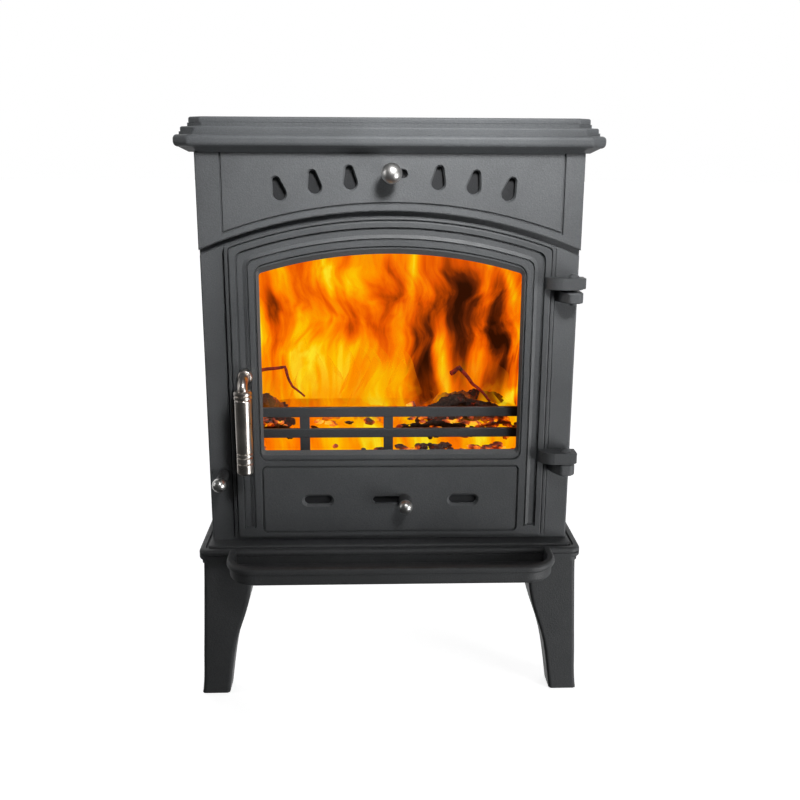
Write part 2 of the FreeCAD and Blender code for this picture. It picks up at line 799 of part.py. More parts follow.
# ---------------------------------------------------------------- air sliders
def shutter_guides(half_left, half_right, z_low, z_high, d0, d1, lip_back):
    """Two L-shaped rails that hold a sliding plate between z_low and z_high."""
    rails = []
    for side in (-1, 1):
        edge = z_high if side > 0 else z_low
        outer = edge + side * 7.0
        web = box(half_left, half_right, d0, d1, min(edge, outer), max(edge, outer))
        inner = edge - side * 4.0
        lip = box(half_left, half_right, d1, lip_back, min(inner, outer), max(inner, outer))
        rails.append(fused([web, lip]))
    return separate(rails)


def top_air_guides():
    return shutter_guides(-203.0, 203.0, 660.5, 708.5, 1.0, 4.6, 7.4)


def top_air_slider():
    """Shutter plate, shut as it stands; pushed to the right, its holes meet the vents."""
    plate = box(-186, 186, 1.2, 4.2, 660.8, 708.2)
    for x, z in vent_centres():
        hole = Part.Face(teardrop_wire(x, z, vent_bevel, 0.0)).extrude(Vector(0, 6.0, 0))
        hole.translate(Vector(-top_travel, 0, 0))
        plate = plate.cut(hole)
    return plate.cut(rod_along_y(top_knob_x, top_slot[2], 0, 6, 4.0))


def top_air_knob():
    knob = ball(top_knob_x, -31, top_slot[2] + 1.0, 12.6)
    collar = rod_along_y(top_knob_x, top_slot[2], -20, -12, 7.0)
    stem = rod_along_y(top_knob_x, top_slot[2], -20, 4.2, 4.0)
    return fused([knob, collar, stem])


def low_air_guides():
    return shutter_guides(-159.0, 159.0, 254.6, 289.4, -6.0, -2.6, -0.4)


def low_air_slider():
    """Shutter plate, shut as it stands; pushed to the left, its holes meet the slots."""
    plate = box(-120, 155, -5.8, -2.8, 254.9, 289.1)
    for x in (-low_air_x, low_air_x):
        half = low_air_size[0] / 2.0 - 3.2
        plate = plate.cut(stadium(x + low_travel - half, x + low_travel + half, low_slot[2],
                                  low_air_size[1] - 6.4, -7, -1))
    return plate.cut(rod_along_y(low_knob_x, low_slot[2], -7, -1, 4.0))


def low_air_ferrule():
    sleeve = rod_along_y(low_knob_x, low_slot[2], -33, door_front - 0.5, 8.6)
    sleeve = sleeve.makeFillet(1.5, edges_at_depth(sleeve, -33))
    return sleeve.cut(rod_along_y(low_knob_x, low_slot[2], -40, 0, 4.0))


def low_air_knob():
    dome = ball(low_knob_x, -38, low_slot[2], 9.3)
    dome = dome.cut(rod_along_y(low_knob_x, low_slot[2], -33, 0, 20.0))
    stem = rod_along_y(low_knob_x, low_slot[2], -38, -2.8, 4.0)
    return fused([dome, stem])


# ---------------------------------------------------------------- door
def door_ear(z0, z1):
    """Hinge arm that leaves the door's edge and ends squarely round the pin."""
    swan = Part.Arc(spot(194.5, -9.5, z0), spot(200.0, -24.0, z0), spot(214.0, ear_front, z0))
    points = [(214.0, ear_front), (243.5, ear_front), (243.5, -8.0), (208.5, -8.0),
              (206.0, -6.0), (194.5, -6.0), (194.5, -9.5)]
    edges = [swan.toShape()]
    for start, end in zip(points, points[1:]):
        edges.append(Part.LineSegment(spot(*start, z0), spot(*end, z0)).toShape())
    arm = Part.Face(Part.Wire(edges)).extrude(Vector(0, 0, z1 - z0))
    edges = []
    for edge in arm.Edges:
        middle = edge.BoundBox.Center
        if middle.x > 240.0 and middle.y < front_face + ear_front + 1.0:
            edges.append(edge)
    arm = arm.makeFillet(2.0, edges)
    wedge = Part.makePolygon([spot(236.0, -40, z0), spot(250.0, -40, z0),
                              spot(250.0, -40, z0 + 4.0), spot(236.0, -40, z0)])
    return arm.cut(Part.Face(wedge).extrude(Vector(0, 60, 0)))


def clip_spots():
    """Where the glass clips are screwed: x, z, and the direction towards the glass."""
    spots = []
    for side in (-1, 1):
        for z in (395.0, 525.0):
            spots.append((side * 184.0, z, (-side, 0)))
        spots.append((side * 80.0, arc_height(584.0, 80.0), (0, -1)))
        spots.append((side * 80.0, 322.0, (0, 1)))
    return spots


def door():
    """Door casting: stepped frame, arched window, lower panel with air slots, hinge ears."""
    edge = arched_plate(door_half, door_bottom, door_radius, 4, 3, door_edge_front, door_back)
    edge = edge.makeFillet(1.6, edges_at_depth(edge, door_edge_front))
    raised = arched_plate(202.7, 220.5, 606.6, 7, 4, door_front, -6.0)
    raised = raised.makeFillet(1.8, edges_at_depth(raised, door_front))
    casting = fused([edge, raised])

    channel = arched_bevel((193.4, 235.0, 597.6, 11, 2), (192.4, 236.0, 596.6, 10, 1),
                           door_front, -9.4)
    core = arched_bevel((179.6, 205.0, 583.5, 11, 2), (186.0, 205.0, 589.9, 16, 2),
                        door_front, -9.4)
    casting = casting.cut(channel.cut(core))
    above_strip_ends = box(-200, 200, -20, 0, 233.8, 700)
    step_line = arched_groove(203.1, 212.0, 607.0, 7, 1.5, door_edge_front, 2.4, 2.2)
    casting = casting.cut(step_line.common(box(-210, 210, -20, 0, 221.5, 700)))
    inner_line = arched_groove(180.4, 212.0, 584.4, 11, 1.5, door_front, 3.0, 3.0)
    casting = casting.cut(inner_line.common(above_strip_ends))
    outer_line = arched_groove(193.6, 212.0, 597.8, 11, 2, door_front, 3.0, 3.8)
    casting = casting.cut(outer_line.common(above_strip_ends))
    casting = casting.cut(arched_groove(170.9, 328.4, 574.8, 15, 10, door_front, 2.8, 2.6))
    bevel = arched_bevel((169.3, 335.6, 572.6, 8, 5), (window_half, window_bottom,
                         window_radius, 5, 4), door_front, rebate_front - 0.6)
    casting = casting.cut(bevel)
    casting = casting.cut(arched_plate(window_half, window_bottom, window_radius, 5, 4, -14, 0))
    casting = casting.cut(arched_plate(glass_half + 0.5, glass_bottom - 0.5, glass_radius + 0.5,
                                       6, 6, rebate_front, 0))

    casting = casting.cut(rectangle_groove(169.0, 228.0, 319.0, 6.0, door_front, 3.2, 2.8))
    casting = casting.cut(box(-160, 160, -6, 0, 247, 297))
    for x in (-low_air_x, low_air_x):
        half = low_air_size[0] / 2.0
        casting = casting.cut(bevelled_stadium(x - half, x + half, low_slot[2], low_air_size[1],
                                               door_front, 3.2, 3.0, 0.0))
    casting = casting.cut(bevelled_stadium(low_slot[0], low_slot[1], low_slot[2], low_slot[3],
                                           door_front, 0.8, 0.8, 0.0))

    casting = casting.cut(door_rope_ring(-5.0, door_back + 1.0))
    ears = [door_ear(*upper_door_ear), door_ear(*lower_door_ear)]
    casting = fused([casting] + ears)
    for low, high in (upper_door_ear, lower_door_ear):
        hole = rod_upright(hinge_x, hinge_depth, low - 1, high + 1, pin_radius + pin_clearance)
        casting = casting.cut(hole)
    casting = casting.cut(rod_along_y(handle_x, handle_z, -20, 5, spindle_radius + pin_clearance))
    for x, z, _ in clip_spots():
        casting = casting.cut(rod_along_y(x, z, -6.0, 0, 2.05))
    return casting


def door_rope_ring(d0, d1):
    outer = arched_plate(203.5, 223.0, 606.0, 8, 7, d0, d1)
    inner = arched_plate(197.5, 229.0, 600.0, 4, 3, d0 - 1, d1 + 1)
    return outer.cut(inner)


def door_rope():
    """Rope seal in its channel, pressed against the front plate."""
    return door_rope_ring(-5.0, 0.0)


def door_glass():
    return arched_plate(glass_half, glass_bottom, glass_radius, 6, 6, glass_front, door_back)


def glass_gasket():
    outer = arched_plate(glass_half, glass_bottom, glass_radius, 6, 6, rebate_front, glass_front)
    inner = arched_plate(window_half + 1.5, window_bottom - 1.5, window_radius + 1.5, 5, 4, -9, 0)
    return outer.cut(inner)


def glass_clips():
    clips = []
    for x, z, (toward_x, toward_z) in clip_spots():
        long_x = 11.0 if toward_x else 6.5
        long_z = 11.0 if toward_z else 6.5
        middle_x = x + toward_x * 4.8
        middle_z = z + toward_z * 4.8
        clip = box(middle_x - long_x, middle_x + long_x, door_back, -0.6,
                   middle_z - long_z, middle_z + long_z)
        clips.append(clip.cut(rod_along_y(x, z, -3, 1, 2.05)))
    return separate(clips)


def clip_screws():
    screws = []
    for x, z, _ in clip_spots():
        head = rod_along_y(x, z, -0.6, 1.8, 4.0)
        head = head.makeFillet(0.9, edges_at_depth(head, 1.8))
        screws.append(fused([head, rod_along_y(x, z, -5.8, -0.6, 2.0)]))
    return separate(screws)


def hinge_pins():
    """One headed pin in each hinge, dropped in from above."""
    pins = []
    for door_span, body_span in ((upper_door_ear, upper_body_ear), (lower_door_ear, lower_body_ear)):
        top = door_span[1]
        shank = rod_upright(hinge_x, hinge_depth, body_span[0] - 3.0, top + 1.0, pin_radius)
        dome = ball(hinge_x, hinge_depth, top - 2.8, 7.9)
        above = rod_upright(hinge_x, hinge_depth, top, top + 10.0, 10.0)
        pins.append(fused([shank, dome.common(above)]))
    return separate(pins)


def hinge_washer():
    """The door rests on this washer at the lower hinge."""
    ring = rod_upright(hinge_x, hinge_depth, lower_body_ear[1], lower_door_ear[0], 8.0)
    return ring.cut(rod_upright(hinge_x, hinge_depth, 300, 350, pin_radius + 0.05))


# ---------------------------------------------------------------- handle and latch
def handle_spindle():
    """Round boss against the door and the shaft that carries the latch cam."""
    boss = rod_along_y(handle_x, handle_z, -23.5, door_front - 0.4, 9.3)
    boss = boss.makeFillet(3.2, edges_at_depth(boss, -23.5))
    shaft = rod_along_y(handle_x, handle_z, -20, 22, spindle_radius)
    return fused([boss, shaft])


def handle_elbow():
    """Bent neck from the boss forwards and down to the grip's collar."""
    radius = 6.2
    bend = 11.4
    level = handle_grip_depth + bend
    start = spot(handle_x, -23.5, handle_z)
    corner_start = spot(handle_x, level, handle_z)
    slant = bend * (1.0 - math.sqrt(0.5))
    corner_middle = spot(handle_x, handle_grip_depth + slant, handle_z - slant)
    corner_end = spot(handle_x, handle_grip_depth, handle_z - bend)
    end = spot(handle_x, handle_grip_depth, 431.2)
    path = Part.Wire([
        Part.LineSegment(start, corner_start).toShape(),
        Part.Arc(corner_start, corner_middle, corner_end).toShape(),
        Part.LineSegment(corner_end, end).toShape(),
    ])
    section = Part.Wire([Part.Circle(start, Vector(0, 1, 0), radius).toShape()])
    return path.makePipeShell([section], True, False)


def handle_grip():
    """Turned grip: a double-ringed collar, a plain barrel, three fine rings and a round end."""
    # radius and height up the grip, from the foot to the top of the collar
    profile = [
        (0.0, 323.0), (8.6, 323.0), (10.2, 325.2), (10.2, 336.4), (9.3, 337.3), (10.2, 338.2),
        (10.2, 344.5), (9.3, 345.4), (10.2, 346.3), (10.2, 349.8), (9.3, 350.7), (10.3, 351.6),
        (10.5, 419.4), (9.7, 420.6), (11.2, 421.8), (11.2, 424.6), (9.9, 425.8), (11.2, 427.0),
        (11.2, 429.8), (9.8, 431.2), (0.0, 431.2),
    ]
    points = [spot(handle_x + radius, handle_grip_depth, z) for radius, z in profile]
    face = Part.Face(Part.makePolygon(points + points[:1]))
    return face.revolve(spot(handle_x, handle_grip_depth, 0), Vector(0, 0, 1), 360)


def latch_cam():
    """Tongue behind the front plate: clear of it with the handle down, behind it when turned."""
    hub = rod_along_y(handle_x, handle_z, 8.4, 14.4, 6.2)
    tongue = box(handle_x - 4.5, handle_x + 4.5, 8.4, 14.4, handle_z - 18.5, handle_z)
    cam = fused([hub, tongue])
    return cam.cut(rod_along_y(handle_x, handle_z, 0, 30, spindle_radius))


def spindle_nut():
    nut = moved(hexagon(12.0, 0.0, 6.0, True), handle_x, 14.4, handle_z)
    return nut.cut(rod_along_y(handle_x, handle_z, 0, 30, spindle_radius))


# ---------------------------------------------------------------- all the parts
def build():
    right_side = right_side_plate()
    right_lining = right_liner()
    parts = {
        "base_plate": base_plate(),
        "ash_lip": ash_lip(),
        "leg_bolts": leg_bolts(),
        "lip_bolts": lip_bolts(),
        "front_plate": front_plate(),
        "right_side_plate": right_side,
        "left_side_plate": mirrored_x(right_side),
        "back_plate": back_plate(),
        "flue_collar": flue_collar(),
        "collar_bolts": collar_bolts(),
        "top_plate": top_plate(),
        "blanking_plate": blanking_plate(),
        "tie_rods": tie_rods(),
        "grate_frame": grate_frame(),
        "riddling_grate": riddling_grate(),
        "riddling_rod": riddling_rod(),
        "riddling_ferrule": riddling_ferrule(),
        "riddling_knob": riddling_knob(),
        "right_liner": right_lining,
        "left_liner": mirrored_x(right_lining),
        "rear_liner": rear_liner(),
        "baffle_plate": baffle_plate(),
        "log_guard": log_guard(),
        "ash_pan": ash_pan(),
        "top_air_guides": top_air_guides(),
        "top_air_slider": top_air_slider(),
        "top_air_knob": top_air_knob(),
        "low_air_guides": low_air_guides(),
        "low_air_slider": low_air_slider(),
        "low_air_ferrule": low_air_ferrule(),
        "low_air_knob": low_air_knob(),
        "door": door(),
        "door_rope": door_rope(),
        "door_glass": door_glass(),
        "glass_gasket": glass_gasket(),
        "glass_clips": glass_clips(),
        "clip_screws": clip_screws(),
        "hinge_pins": hinge_pins(),
        "hinge_washer": hinge_washer(),
        "handle_spindle": handle_spindle(),
        "handle_elbow": handle_elbow(),
        "handle_grip": handle_grip(),
        "latch_cam": latch_cam(),
        "spindle_nut": spindle_nut(),
    }
    parts.update(legs())
    return parts


os.makedirs("parts", exist_ok=True)
for name, shape in build().items():
    shape.translate(Vector(0, 0, datum_height))
    shape.exportStep(os.path.join("parts", name + ".step"))
    print(name, "solids", len(shape.Solids), "valid", shape.isValid(),
          "volume", round(shape.Volume))
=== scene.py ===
import math
import random

import bmesh
import bpy
from mathutils import Matrix, Vector, noise


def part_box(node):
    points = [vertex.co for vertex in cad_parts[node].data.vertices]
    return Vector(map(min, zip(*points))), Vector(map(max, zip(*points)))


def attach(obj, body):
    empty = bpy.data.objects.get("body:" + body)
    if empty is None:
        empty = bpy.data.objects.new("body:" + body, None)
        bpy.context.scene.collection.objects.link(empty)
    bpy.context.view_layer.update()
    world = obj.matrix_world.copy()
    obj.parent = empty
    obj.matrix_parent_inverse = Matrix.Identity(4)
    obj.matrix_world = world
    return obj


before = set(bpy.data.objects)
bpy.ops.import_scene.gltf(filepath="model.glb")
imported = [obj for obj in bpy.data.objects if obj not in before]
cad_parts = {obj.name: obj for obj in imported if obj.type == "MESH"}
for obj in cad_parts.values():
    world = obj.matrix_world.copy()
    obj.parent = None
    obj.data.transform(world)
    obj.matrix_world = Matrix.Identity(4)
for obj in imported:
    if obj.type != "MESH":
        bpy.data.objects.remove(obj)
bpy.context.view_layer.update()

# ---------------------------------------------------------------- driving values, in metres
MM = 0.001
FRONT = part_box("right_side_plate")[0].y - 8 * MM      # the body's front face
FIREBOX_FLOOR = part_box("grate_frame")[1].z
GRATE_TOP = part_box("riddling_grate")[1].z
LINER_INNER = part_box("right_liner")[0].x
REAR_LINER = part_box("rear_liner")[0].y
BAFFLE_FRONT_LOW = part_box("baffle_plate")[1].z - 16 * MM
BAFFLE_REAR_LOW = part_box("baffle_plate")[0].z
BAFFLE_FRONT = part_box("baffle_plate")[0].y
BAFFLE_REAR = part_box("baffle_plate")[1].y
WINDOW_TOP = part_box("door_glass")[1].z + 4 * MM

FIRE_EYE = Vector((-0.03, FRONT - 1.2, 0.72))         # lines from here carry the flames' pattern

FLOOR_REACH = 30.0
WALL_RADIUS = 29.0
WALL_HEIGHT = 60.0

CAMERA_PLACE = Vector((-0.0307, FRONT - 1.2041, 0.7201))
CAMERA_YAW = math.radians(2.05)
CAMERA_PITCH = math.radians(14.40)
CAMERA_ROLL = math.radians(0.27)
CAMERA_LENS = 42.68


# ---------------------------------------------------------------- node helpers
class Shader:
    """A material under construction: short ways to add and join its nodes."""

    def __init__(self, name):
        self.material = bpy.data.materials.new(name)
        self.material.use_nodes = True
        self.tree = self.material.node_tree
        self.tree.nodes.clear()
        self.output = self.tree.nodes.new("ShaderNodeOutputMaterial")
        self.coords = self.tree.nodes.new("ShaderNodeTexCoord").outputs["Object"]

    def join(self, source, target):
        """Link an output to an input."""
        self.tree.links.new(source, target)

    def add(self, kind, **settings):
        """A new node with its settings."""
        node = self.tree.nodes.new(kind)
        for key, value in settings.items():
            setattr(node, key, value)
        return node

    def feed(self, socket, value):
        """Link the socket if the value is a node's output, or set it to the value."""
        if isinstance(value, bpy.types.NodeSocket):
            self.join(value, socket)
        else:
            socket.default_value = value

    def stretch(self, scale, offset=(0, 0, 0), source=None):
        """Coordinates scaled and moved; the object's own ones unless a source is given."""
        node = self.add("ShaderNodeMapping")
        self.join(source or self.coords, node.inputs["Vector"])
        node.inputs["Scale"].default_value = scale
        node.inputs["Location"].default_value = offset
        return node.outputs[0]

    def noise(self, scale, detail=4.0, rough=0.55, distort=0.0, source=None, colour=False):
        node = self.add("ShaderNodeTexNoise")
        self.join(source or self.coords, node.inputs["Vector"])
        node.inputs["Scale"].default_value = scale
        node.inputs["Detail"].default_value = detail
        node.inputs["Roughness"].default_value = rough
        node.inputs["Distortion"].default_value = distort
        return node.outputs["Color" if colour else "Fac"]

    def cells(self, scale, feature="F1", source=None):
        node = self.add("ShaderNodeTexVoronoi", feature=feature)
        self.join(source or self.coords, node.inputs["Vector"])
        node.inputs["Scale"].default_value = scale
        return node.outputs["Distance"]

    def ramp(self, factor, stops):
        """A colour ramp from (place, colour) stops."""
        node = self.add("ShaderNodeValToRGB")
        elements = node.color_ramp.elements
        while len(elements) < len(stops):
            elements.new(0.5)
        for element, (place, colour) in zip(elements, stops):
            element.position = place
            element.color = (*colour, 1.0)
        self.join(factor, node.inputs["Fac"])
        return node.outputs["Color"]

    def spread(self, value, low, high, to_low, to_high):
        """The value mapped from one range to another, and held inside it."""
        node = self.add("ShaderNodeMapRange")
        self.join(value, node.inputs["Value"])
        for name, number in (("From Min", low), ("From Max", high),
                             ("To Min", to_low), ("To Max", to_high)):
            node.inputs[name].default_value = number
        return node.outputs["Result"]

    def maths(self, operation, first, second=0.0, clamp=False):
        node = self.add("ShaderNodeMath", operation=operation, use_clamp=clamp)
        self.feed(node.inputs[0], first)
        self.feed(node.inputs[1], second)
        return node.outputs[0]

    def vector_add(self, first, second, scale):
        """The first vector, plus the second one times a scale."""
        shrunk = self.add("ShaderNodeVectorMath", operation="SCALE")
        self.join(second, shrunk.inputs[0])
        shrunk.inputs["Scale"].default_value = scale
        total = self.add("ShaderNodeVectorMath", operation="ADD")
        self.join(first, total.inputs[0])
        self.join(shrunk.outputs[0], total.inputs[1])
        return total.outputs[0]

    def blend(self, factor, first, second):
        node = self.add("ShaderNodeMix", data_type="RGBA")
        self.feed(node.inputs["Factor"], factor)
        self.feed(node.inputs["A"], first)
        self.feed(node.inputs["B"], second)
        return node.outputs["Result"]

    def fire_values(self):
        """What a sheet of fire carries in its maps: heat, core, and the place along its flow."""
        chart = self.add("ShaderNodeUVMap", uv_map="fire")
        node = self.add("ShaderNodeSeparateXYZ")
        self.join(chart.outputs[0], node.inputs[0])
        flow = self.add("ShaderNodeUVMap", uv_map="flow")
        return node.outputs["X"], node.outputs["Y"], flow.outputs[0]

    def bump(self, height, distance, strength=1.0, under=None):
        node = self.add("ShaderNodeBump")
        node.inputs["Strength"].default_value = strength
        node.inputs["Distance"].default_value = distance
        self.join(height, node.inputs["Height"])
        if under is not None:
            self.join(under, node.inputs["Normal"])
        return node.outputs["Normal"]

    def principled(self, **values):
        """Finish with a Principled shader; an underscore in a key stands for a space."""
        node = self.add("ShaderNodeBsdfPrincipled")
        for key, value in values.items():
            self.feed(node.inputs[key.replace("_", " ")], value)
        self.join(node.outputs[0], self.output.inputs["Surface"])
        return self.material


# ---------------------------------------------------------------- materials
def stove_paint(name, base, grain=1.0, seed=0.0, shine=0.40):
    """Matt high-temperature paint over sand-cast iron: fine grain, faint mottling, dull sheen."""
    s = Shader(name)
    shifted = s.stretch((1, 1, 1), (seed, seed * 0.7, seed * 1.3))
    sand = s.noise(620.0, 4.0, 0.65, source=shifted)
    pits = s.cells(480.0, source=shifted)
    mottle = s.noise(9.0, 5.0, 0.6, source=shifted)
    patches = s.noise(60.0, 4.0, 0.6, source=shifted)
    dark = tuple(c * 0.86 for c in base)
    light = tuple(min(1.0, c * 1.12) for c in base)
    tone = s.ramp(mottle, ((0.30, dark), (0.52, base), (0.75, light)))
    speck = s.spread(sand, 0.30, 0.74, 0.84, 1.16)
    toned = s.add("ShaderNodeMix", data_type="RGBA", blend_type="MULTIPLY")
    toned.inputs["Factor"].default_value = 1.0
    s.join(tone, toned.inputs["A"])
    s.join(speck, toned.inputs["B"])
    rough = s.spread(patches, 0.3, 0.7, 0.46, 0.60)
    large = s.bump(mottle, 0.0005 * grain, 0.5)
    height = s.maths("ADD", sand, s.maths("MULTIPLY", pits, 0.7))
    fine = s.bump(height, 0.00030 * grain, 0.8, under=large)
    return s.principled(Base_Color=toned.outputs["Result"], Roughness=rough, Normal=fine,
                        Specular_IOR_Level=shine)


def sooty_iron(name):
    """Bare iron inside the fire: black soot with grey ash caught on its upper grain."""
    s = Shader(name)
    soot = s.noise(45.0, 6.0, 0.65)
    ash = s.noise(160.0, 5.0, 0.7)
    colour = s.ramp(soot, ((0.3, (0.018, 0.016, 0.015)), (0.6, (0.05, 0.046, 0.043)),
                           (0.85, (0.13, 0.12, 0.11))))
    return s.principled(Base_Color=colour, Roughness=s.spread(ash, 0.2, 0.8, 0.6, 0.9),
                        Normal=s.bump(ash, 0.0006, 0.8))


def fire_brick(name):
    """Pale fire board, browned and sooted towards the fire."""
    s = Shader(name)
    grains = s.noise(380.0, 4.0, 0.7)
    soot = s.noise(14.0, 6.0, 0.65)
    clean = s.ramp(grains, ((0.3, (0.30, 0.25, 0.20)), (0.7, (0.46, 0.40, 0.33))))
    colour = s.blend(s.spread(soot, 0.42, 0.66, 0.15, 0.92), clean, (0.045, 0.038, 0.034, 1.0))
    return s.principled(Base_Color=colour, Roughness=0.92,
                        Normal=s.bump(s.maths("ADD", grains, soot), 0.0008, 0.7))


def rope_weave(name):
    """Braided glass-fibre rope: crossing diagonal strands, charcoal coloured."""
    s = Shader(name)
    strands = []
    for lean in (1, -1):
        wave = s.add("ShaderNodeTexWave", wave_type="BANDS", bands_direction="DIAGONAL")
        s.join(s.stretch((1, 1, lean)), wave.inputs["Vector"])
        wave.inputs["Scale"].default_value = 90.0
        wave.inputs["Distortion"].default_value = 0.6
        strands.append(wave.outputs["Fac"])
    weave = s.maths("MAXIMUM", strands[0], strands[1])
    fibre = s.noise(1400.0, 3.0, 0.6)
    colour = s.ramp(weave, ((0.2, (0.035, 0.035, 0.035)), (0.9, (0.13, 0.13, 0.125))))
    height = s.maths("ADD", weave, s.maths("MULTIPLY", fibre, 0.4))
    return s.principled(Base_Color=colour, Roughness=0.95, Normal=s.bump(height, 0.0008, 0.9),
                        Sheen_Weight=0.3)


def plated(name, colour, rough_low, rough_high, turned=0.0):
    """Polished plated metal: faint smears, hairline scratches, and turning marks if asked."""
    s = Shader(name)
    smear = s.noise(60.0, 4.0, 0.6)
    hairs = s.noise(240.0, 3.0, 0.6, source=s.stretch((6.0, 6.0, 0.7)))
    marks = s.noise(900.0, 2.0, 0.5, source=s.stretch((0.15, 0.15, 3.0)))
    dull = tuple(c * 0.86 for c in colour)
    tone = s.ramp(smear, ((0.3, dull), (0.7, colour)))
    height = s.maths("ADD", hairs, s.maths("MULTIPLY", marks, turned))
    return s.principled(Base_Color=tone, Metallic=1.0,
                        Roughness=s.spread(smear, 0.25, 0.75, rough_low, rough_high),
                        Normal=s.bump(height, 0.00004, 0.35))


def clear_glass(name):
    """Heat-proof glass: clear, with a trace of brown haze that gathers in patches."""
    s = Shader(name)
    haze = s.noise(9.0, 4.0, 0.6)
    return s.principled(Base_Color=(0.05, 0.035, 0.02, 1.0), Roughness=0.06, IOR=1.45,
                        Alpha=s.spread(haze, 0.45, 0.8, 0.01, 0.06))


def flame(name, seed, cover):
    """Fire as long streaks that lean and fold over each other; smoke-dark to pale yellow.

    Heat says how bright the fire burns there, and core is 0 where a sheet of flame ends.
    Cover is solid for a wall of fire, veil for a see-through sheet, and fading where only core
    thins it out.
    """
    s = Shader(name)
    heat, core, flow = s.fire_values()
    spaced = s.stretch((1.0, 0.8, 1.0), (seed, 0, 0), flow)
    wide = s.noise(4.5, 2.0, 0.5, source=spaced, colour=True)
    swept = s.vector_add(flow, wide, 0.13)
    spaced = s.stretch((1.0, 0.6, 1.0), (0, seed, 0), swept)
    curl = s.noise(19.0, 2.0, 0.5, source=spaced, colour=True)
    folded = s.vector_add(s.stretch((1.0, 0.12, 1.0), (0, seed, 0), swept), curl, 0.010)
    streaks = s.noise(27.0, 2.0, 0.45, 0.2, source=folded)
    threads = s.noise(110.0, 3.0, 0.55, 0.1, source=folded)
    sheets = s.noise(9.0, 2.0, 0.5, 0.2, source=s.stretch((1.0, 2.2, 1.0), (0, 0, seed), folded))
    mixed = s.maths("ADD", s.maths("MULTIPLY", streaks, 1.20), s.maths("MULTIPLY", sheets, 0.90))
    mixed = s.maths("ADD", mixed, s.maths("MULTIPLY", threads, 0.36))
    lifted = s.maths("ADD", s.maths("SUBTRACT", mixed, 1.23), heat)
    colour = s.ramp(lifted, (
        (0.08, (0.030, 0.004, 0.0)), (0.24, (0.13, 0.016, 0.001)), (0.36, (0.42, 0.050, 0.0)),
        (0.48, (0.80, 0.095, 0.0)), (0.62, (1.0, 0.185, 0.0)), (0.76, (1.0, 0.32, 0.0)),
        (0.90, (1.0, 0.54, 0.001)), (1.0, (1.0, 0.76, 0.02))))
    values = dict(Base_Color=(0.0, 0.0, 0.0, 1.0), Roughness=1.0, Specular_IOR_Level=0.0,
                  Emission_Color=colour, Emission_Strength=1.0)
    if cover == "fading":
        values["Alpha"] = core
    if cover == "veil":
        veil = s.maths("MULTIPLY", core, s.spread(lifted, 0.46, 0.82, 0.0, 0.85), clamp=True)
        values["Alpha"] = veil
    return s.principled(**values)


def charred_wood(name, seed):
    """Burnt log: black scales with thin red cracks, glowing in patches, and grey ash on top."""
    s = Shader(name)
    shifted = s.stretch((1, 1, 1), (seed, 0, 0))
    warped = s.vector_add(shifted, s.noise(26.0, 4.0, 0.6, colour=True), 0.03)
    cracks = s.cells(74.0, "DISTANCE_TO_EDGE", source=warped)
    fine = s.noise(260.0, 5.0, 0.7)
    patch = s.noise(19.0, 4.0, 0.6, source=warped)
    colour = s.ramp(fine, ((0.3, (0.008, 0.005, 0.004)), (0.6, (0.035, 0.02, 0.014)),
                           (0.85, (0.15, 0.12, 0.10))))
    vein = s.spread(cracks, 0.0, 0.035, 0.8, 0.0)
    glow = s.maths("MULTIPLY", vein, s.spread(patch, 0.50, 0.66, 0.0, 1.0), clamp=True)
    broad = s.spread(patch, 0.60, 0.74, 0.0, 0.9)
    glow = s.maths("MAXIMUM", glow, broad, clamp=True)
    hot = s.ramp(glow, ((0.0, (0.0, 0.0, 0.0)), (0.25, (0.10, 0.004, 0.0)),
                        (0.6, (0.75, 0.07, 0.001)), (1.0, (1.0, 0.38, 0.02))))
    return s.principled(Base_Color=colour, Roughness=0.95, Emission_Color=hot,
                        Emission_Strength=1.0,
                        Normal=s.bump(s.maths("ADD", cracks, s.maths("MULTIPLY", fine, 0.3)),
                                      0.003, 0.9))


def twig_bark(name):
    """A thin stick that burns dull red, with blackened stretches."""
    s = Shader(name)
    char = s.noise(110.0, 4.0, 0.6)
    hot = s.ramp(char, ((0.38, (0.30, 0.008, 0.0)), (0.58, (0.10, 0.003, 0.0)),
                        (0.70, (0.006, 0.001, 0.0))))
    return s.principled(Base_Color=(0.03, 0.006, 0.003, 1.0), Roughness=0.9, Emission_Color=hot,
                        Emission_Strength=0.9, Normal=s.bump(char, 0.001, 0.9))


def ember_coal(name):
    """Coals: dark crusts over a red, orange and yellow glow."""
    s = Shader(name)
    crust = s.noise(85.0, 6.0, 0.7)
    lumps = s.cells(44.0)
    blend = s.maths("ADD", s.maths("MULTIPLY", crust, 0.7), s.maths("MULTIPLY", lumps, 0.55))
    hot = s.ramp(blend, ((0.46, (1.0, 0.50, 0.02)), (0.54, (0.9, 0.16, 0.002)),
                         (0.62, (0.30, 0.02, 0.001)), (0.71, (0.012, 0.001, 0.0))))
    colour = s.ramp(crust, ((0.4, (0.02, 0.012, 0.01)), (0.8, (0.16, 0.13, 0.12))))
    return s.principled(Base_Color=colour, Roughness=0.95, Emission_Color=hot,
                        Emission_Strength=1.1, Normal=s.bump(crust, 0.004, 0.9))


def pale_floor(name):
    """Plain white studio floor, lit a little from within so that it stays even."""
    s = Shader(name)
    tone = s.ramp(s.noise(3.0, 4.0, 0.5), ((0.3, (0.90, 0.90, 0.90)), (0.7, (0.93, 0.93, 0.93))))
    return s.principled(Base_Color=tone, Roughness=0.8, Specular_IOR_Level=0.1,
                        Emission_Color=(1.0, 1.0, 1.0, 1.0), Emission_Strength=0.84)


